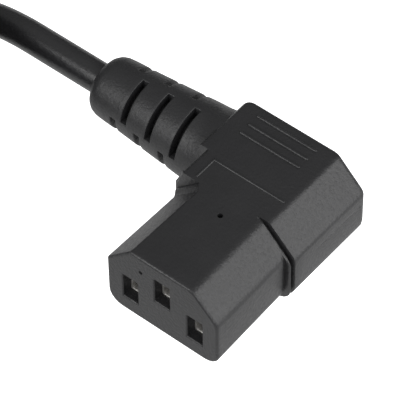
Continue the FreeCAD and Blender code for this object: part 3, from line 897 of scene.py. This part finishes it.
cord = make_cord()
print("cord: control points", len(route))

# %% [markdown]
# ## The strap
# A soft woven strap holds the turns. Pulled tight, it takes the shape of a line round
# the turns' circles, and it is flat underneath, where the coil stands on it. A cloth
# could be simulated, but a tight band has only one form: the hull of the circles. Two
# hulls that differ by the strap's thickness, joined at both edges, are its wall.

# %% Tie strap
TIE_WIDTH = 12.0
TIE_THICKNESS = 1.2
TIE_ANGLE = math.radians(225.0)
TIE_CENTRES = np.array([(26, 3), (38, 3), (38, 15), (32, 15), (26, 9)], float)


def hull_loop(radius, floor, steps=8):
    """The line round five equal circles, held above a floor: round each centre an arc of
    that radius, from square to the side before it to square to the side after it."""
    into = TIE_CENTRES - np.roll(TIE_CENTRES, 1, axis=0)
    heading = np.arctan2(into[:, 1], into[:, 0]) - math.pi / 2
    turn = (np.roll(heading, -1) - heading) % (2 * math.pi)
    angle = heading[:, None] + turn[:, None] * np.linspace(0, 1, steps + 1)
    loop = TIE_CENTRES[:, None] + radius * np.stack([np.cos(angle), np.sin(angle)], axis=-1)
    loop = loop.reshape(-1, 2)
    loop[:, 1] = np.maximum(loop[:, 1], floor)
    return loop


def make_tie():
    """The strap's wall is a closed tube: loops round one edge from the outside to the inside
    and back round the other, then turned to TIE_ANGLE about the coil's axis."""
    half, full = TIE_WIDTH / 2, TIE_THICKNESS
    edge = [(full, 0.3), (full - 0.1, 0.08), (full - 0.35, 0.0), (0.3, 0.0), (0.05, 0.1)]
    wall = [(grow, back - half) for grow, back in edge]
    wall += [(grow, half - back) for grow, back in edge[::-1]]
    loops = [(hull_loop(CORD / 2 + grow, HAIR + full - grow), y) for grow, y in wall]
    rings = np.array([across(loop, y) for loop, y in loops + loops[:1]])
    c, s = math.cos(TIE_ANGLE), math.sin(TIE_ANGLE)
    turned = rings @ np.array([[c, s, 0], [-s, c, 0], [0, 0, 1]])
    turned += (*COIL_CENTRE, FLOOR)
    return ring_mesh("strap", turned, STRAP_BLACK, caps=False)


tie = make_tie()
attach(tie, "root")
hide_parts("coil_tie")
tell(tie)

# %% [markdown]
# ## The plug
# The far end carries the matching plug: a boot, a body and a shroud round three
# blades. The photograph doesn't show it, so it is kept plain. It is worked out along
# its own axis, where every section is flat, and then carried to the cord's end by one
# turn. The shell is one skin that goes over the rim and back down into the shroud.

# %% Plug shell
PLUG_BOOT = 20.0
PLUG_RIM = 52.0
PLUG_FLOOR = 34.0
PLUG_HALF = (14.3, 10.5)
PLUG_CHAMFER = 6.4
PLUG_RADIUS = 4.4
PLUG_GRIP = 7.0
PLUG_START = np.array(tail[-1]) + PLUG_AXIS * PLUG_GRIP
PLUG_UP = np.array([math.sin(PLUG_TILT), 0.0, math.cos(PLUG_TILT)])
PLUG_SIDE = np.array([0.0, 1.0, 0.0])
PLUG_SOFT = (0.8, 0.8)
PLUG_MARK = -0.1
PLUG_ROOM = 0.3
PLUG_BODY = (
    (26.0, 0.0), (33.0, 0.0), (33.6, 0.0), (33.9, 0.25), (34.4, 0.25), (34.7, 0.0), (46.0, 0.0),
)
PLUG_MOUTH = (
    (PLUG_RIM, 0.35), (PLUG_RIM - 0.1, 0.1), (PLUG_RIM - 0.35, 0.0),
    (46.0, 0.0), (40.0, 0.0), (PLUG_FLOOR, 0.0),
)


def carried(rings):
    """From the plug's own (across, along, up) to the axes of the whole part."""
    rings = np.asarray(rings, float)
    return PLUG_START + (
        rings[..., :1] * PLUG_SIDE + rings[..., 1:2] * PLUG_AXIS + rings[..., 2:] * PLUG_UP
    )


def shroud_loop(inset):
    """The shroud's section, drawn in by a distance."""
    x, z = PLUG_HALF[0] - inset, PLUG_HALF[1] - inset
    slope = sum(PLUG_HALF) - PLUG_CHAMFER - inset * math.sqrt(2)
    radius = max(PLUG_RADIUS - inset, 0.6)
    corners = (z - slope, slope - x)
    return section(x, x, (-z, -z), z, slope, *corners, radius, PLUG_MARK, PLUG_SOFT)


def cavity_loop(grow):
    """The nose's own section with room round it."""
    return nose_loop(PLUG_ROOM + grow, top=TOP + PLUG_ROOM + grow)


def make_plug_shell():
    """Out along the body, over its groove and the rim, and back down into the shroud."""
    rings = [across(shroud_loop(i), PLUG_BOOT + y) for y, i in rounded_end(1.6)]
    rings += [across(shroud_loop(i), y) for y, i in PLUG_BODY]
    rings += [across(shroud_loop(i), PLUG_RIM - y) for y, i in rounded_end(0.7)[::-1]]
    rings += [across(cavity_loop(g), y) for y, g in PLUG_MOUTH]
    return ring_mesh("plug_shell_skin", carried(rings), HOOD_BLACK)


plug_shell = make_plug_shell()
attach(plug_shell, "root")
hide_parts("plug_shell")
tell(plug_shell)

# %% [markdown]
# The plug's boot is the same kind of grid as the first one, round a shorter cone with
# its slots nearer together.

# %% Plug boot
PLUG_PROFILE = np.array([
    (0.0, 3.05), (0.3, 4.0), (1.0, 4.7), (2.0, 5.1), (19.0, 8.3), (20.4, 9.2), (21.0, 9.5),
])
PLUG_SLITS_BOTTOM = (4.2, 9.4, 14.6)
PLUG_SLITS_TOP = (6.8, 12.0, 17.2)


def make_plug_boot():
    """The grid round the plug's own axis, from the cord to inside the body: across and up
    are radius (cos, sin) angle, and along is the place."""
    place, angle, radius = boot_rings(PLUG_PROFILE, PLUG_SLITS_BOTTOM, PLUG_SLITS_TOP)
    along = place[:, None] * np.ones(len(angle))
    rings = np.stack([radius * np.cos(angle), along, radius * np.sin(angle)], axis=-1)
    return ring_mesh("plug_boot", carried(rings), BOOT_BLACK, smooth_angle=40)


plug_boot = make_plug_boot()
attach(plug_boot, "root")
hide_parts("plug_shell")
tell(plug_boot)

# %% [markdown]
# The blades are solid bars of drawn metal whose tips taper on all four sides, so that
# they find the slots. The taper is the last three rings, each drawn in a little more.

# %% Blades
BLADE = (2.0, 4.0)
BLADE_ROUND = 0.18
BLADE_ROOT = 27.0
BLADE_TIP = 50.5
BLADE_TAPER = ((1.4, 0.0), (0.7, 0.16), (0.2, 0.38), (0.0, 0.6))


def make_blade(name, x, z):
    """Rings along the plug's axis, drawn in near the tip by up to 0.6 mm."""
    stations = [(y, 0.0) for y in (BLADE_ROOT, 30.0, 45.0)]
    stations += [(BLADE_TIP - back, inset) for back, inset in BLADE_TAPER]
    rings = []
    for y, inset in stations:
        loop = box_loop(BLADE[0] / 2 - inset, BLADE[1] / 2 - inset, BLADE_ROUND, 4)
        rings.append(across(loop + (x, z), y))
    blade = ring_mesh("blade_bar_" + name, carried(rings), BLADE_METAL)
    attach(blade, "root")
    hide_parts("blade_" + name)
    return blade


blades = [make_blade(name, x, z) for name, (x, z) in POLES.items()]
tell(*blades)

# %% [markdown]
# ## Inner pieces
# The cores, strands and jacket ends are sealed inside the mouldings, and the plug's
# bridge closes its shroud. They stay as the solids have them, each with its own finish,
# so that a cut through the part reads well.

# %% Carried-over solids
INNER = {
    "strands_": COPPER, "plug_bridge": NOSE_BLACK,
    "jacket_root": JACKET_BLACK, "plug_jacket": JACKET_BLACK,
    "wire_line": CORE_BROWN, "wire_neutral": CORE_BLUE, "wire_earth": CORE_GREEN,
}
finished = []
for name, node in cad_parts.items():
    for key, finish in INNER.items():
        if key in name:
            node.data.materials.clear()
            node.data.materials.append(finish)
            finished.append(name)
print("solids with a finish of their own:", len(finished))

# %% [markdown]
# ## The pieces on the cord
# The pieces that hang on the cord are gathered in one list: the strap and everything
# of the plug.

# %% Pieces on the cord
on_cord = [tie, plug_shell, plug_boot, *blades]
inside_plug = [n for n in sorted(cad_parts) if n.startswith("plug_") and n != "plug_shell"]
on_cord += [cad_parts[n] for n in inside_plug]
print("pieces that hang on the cord:", len(on_cord))

# %% [markdown]
# ## Light and floor
# A black object shows hardly any colour of its own: what is seen is the room's
# reflection. In the photograph the top is dark, the cut corners and the sides are
# pale, and the rounded edges between them are darker than both. So the room is a pale
# floor, which the sides mirror, and a tent that is pale at the height that the cut
# corners mirror and dim just over the horizon, which is what the edges mirror. Three
# soft lamps fill in. The strengths were found by rendering each light alone and adding
# them up to the tones that were wanted. The lamp in front stays weak and high, because
# a low one glares on the top when the object is seen from behind. The camera sees the
# floor as white, so that hardly a shadow is left.

# %% Lights
LAMP_TARGET = (0.0, 20.0, 0.0)
LAMPS = {
    "key": ((400.0, 200.0, 200.0), 0.45, 1.9),
    "fill": ((380.0, -330.0, 300.0), 0.35, 1.6),
    "left": ((-190.0, -340.0, 215.0), 0.3, 1.1),
}
SKY_AT = (0.0, 0.17, 0.34, 0.5, 0.68, 0.87)
SKY = (0.20, 0.05, 0.10, 0.45, 0.20, 0.57)


def area_light(name, place, target, size, power):
    """A square lamp at a place in mm that faces a target."""
    data = bpy.data.lights.new(name, "AREA")
    data.shape = "SQUARE"
    data.size = size
    data.energy = power
    way = Vector(target) - Vector(place)
    turn = way.to_track_quat("-Z", "Y").to_matrix().to_4x4()
    placed(name, data).matrix_world = Matrix.Translation(Vector(place) * MM) @ turn


for name, (place, size, power) in LAMPS.items():
    area_light(name, place, LAMP_TARGET, size, power)


def worked_out(tree, operation, *values):
    """One step of arithmetic on two or three values, each a number or a node's output."""
    node = tree.nodes.new("ShaderNodeMath")
    node.operation = operation
    for socket, value in zip(node.inputs, values):
        if isinstance(value, float):
            socket.default_value = value
        else:
            tree.links.new(value, socket)
    return node.outputs[0]


def blended(tree, share, first, second, surface):
    """Give a surface first (1 - share) + second share."""
    mix = tree.nodes.new("ShaderNodeMixShader")
    for socket, value in zip(mix.inputs, (share, first, second)):
        tree.links.new(value, socket)
    tree.links.new(mix.outputs[0], surface)


def seen_white(tree):
    """1 for a ray from the camera, from gloss or through glass: the largest of three."""
    ray = tree.nodes.new("ShaderNodeLightPath").outputs
    first = worked_out(tree, "MAXIMUM", ray["Is Camera Ray"], ray["Is Glossy Ray"])
    return worked_out(tree, "MAXIMUM", first, ray["Is Transmission Ray"])


def make_world():
    """A tent whose brightness is SKY at the heights SKY_AT, which are sines of the elevation,
    with straight lines between. The camera itself sees one even, pale room."""
    world = bpy.data.worlds.new("studio")
    world.use_nodes = True
    tree = world.node_tree
    base = tree.nodes["Background"]
    way = tree.nodes.new("ShaderNodeNewGeometry")
    parts = tree.nodes.new("ShaderNodeSeparateXYZ")
    tree.links.new(way.outputs["Incoming"], parts.inputs["Vector"])
    height = worked_out(tree, "MULTIPLY", parts.outputs["Z"], -1.0)
    ramp = tree.nodes.new("ShaderNodeValToRGB")
    stops = ramp.color_ramp.elements
    for stop in SKY_AT[2:]:
        stops.new(stop)
    for stop, at, level in zip(stops, SKY_AT, SKY):
        stop.position = at
        stop.color = (level, level, level, 1)
    tree.links.new(height, ramp.inputs["Fac"])
    tree.links.new(ramp.outputs["Color"], base.inputs["Color"])
    white = tree.nodes.new("ShaderNodeBackground")
    camera_ray = tree.nodes.new("ShaderNodeLightPath").outputs["Is Camera Ray"]
    surface = tree.nodes["World Output"].inputs["Surface"]
    blended(tree, camera_ray, base.outputs[0], white.outputs[0], surface)
    bpy.context.scene.world = world


make_world()
print("lamps:", list(LAMPS), "and a sky of", len(SKY), "stops")

# %% Floor
FLOOR_HALF = 1500.0
FLOOR_WHITE = (0.85, 0.85, 0.85)
FLOOR_WHITE_SHARE = 0.82
FLOOR_GLOW = 1.2
GLOSS_GLOW = 0.96
GLOW_REACH = 0.04
GLOW_FRONT = 0.45


def gloss_glow(tree):
    """The glow that gloss sees: dimmer in front of the object, even from its middle back.
    It goes in a straight line from low to high over a reach in Y round the object."""
    place = tree.nodes.new("ShaderNodeTexCoord")
    parts = tree.nodes.new("ShaderNodeSeparateXYZ")
    tree.links.new(place.outputs["Object"], parts.inputs["Vector"])
    low, high = GLOSS_GLOW * GLOW_FRONT, GLOSS_GLOW
    return spread(tree, parts.outputs["Y"], low, high, -GLOW_REACH, GLOW_REACH / 2)


def make_floor():
    """A flat square under the object: to the camera and to gloss FLOOR_WHITE_SHARE of it is
    a glow, and the rest is a matt white. The camera's glow is gloss's plus FLOOR_GLOW."""
    corners = np.array([(-1, -1), (1, -1), (1, 1), (-1, 1)]) * FLOOR_HALF * MM
    data = bpy.data.meshes.new("floor")
    level = (FLOOR - HAIR) * MM
    data.from_pydata([(x, y, level) for x, y in corners], [], [(0, 1, 2, 3)])
    material, tree, shader = new_material("floor_white", FLOOR_WHITE, 0.8)
    glow = tree.nodes.new("ShaderNodeEmission")
    camera_ray = tree.nodes.new("ShaderNodeLightPath").outputs["Is Camera Ray"]
    power = worked_out(tree, "MULTIPLY_ADD", camera_ray, FLOOR_GLOW, gloss_glow(tree))
    tree.links.new(power, glow.inputs["Strength"])
    share = worked_out(tree, "MULTIPLY", seen_white(tree), FLOOR_WHITE_SHARE)
    surface = tree.nodes["Material Output"].inputs["Surface"]
    blended(tree, share, shader.outputs[0], glow.outputs[0], surface)
    data.materials.append(material)
    floor = placed("floor", data)


make_floor()
bpy.context.scene.view_settings.view_transform = "Standard"
print("floor, mm:", FLOOR - HAIR)

# %% [markdown]
# ## The end
# Fine detail is added here, but nothing may stand outside the part's real size. At
# the end the scene is brought up to date.

# %% Finish
bpy.context.view_layer.update()
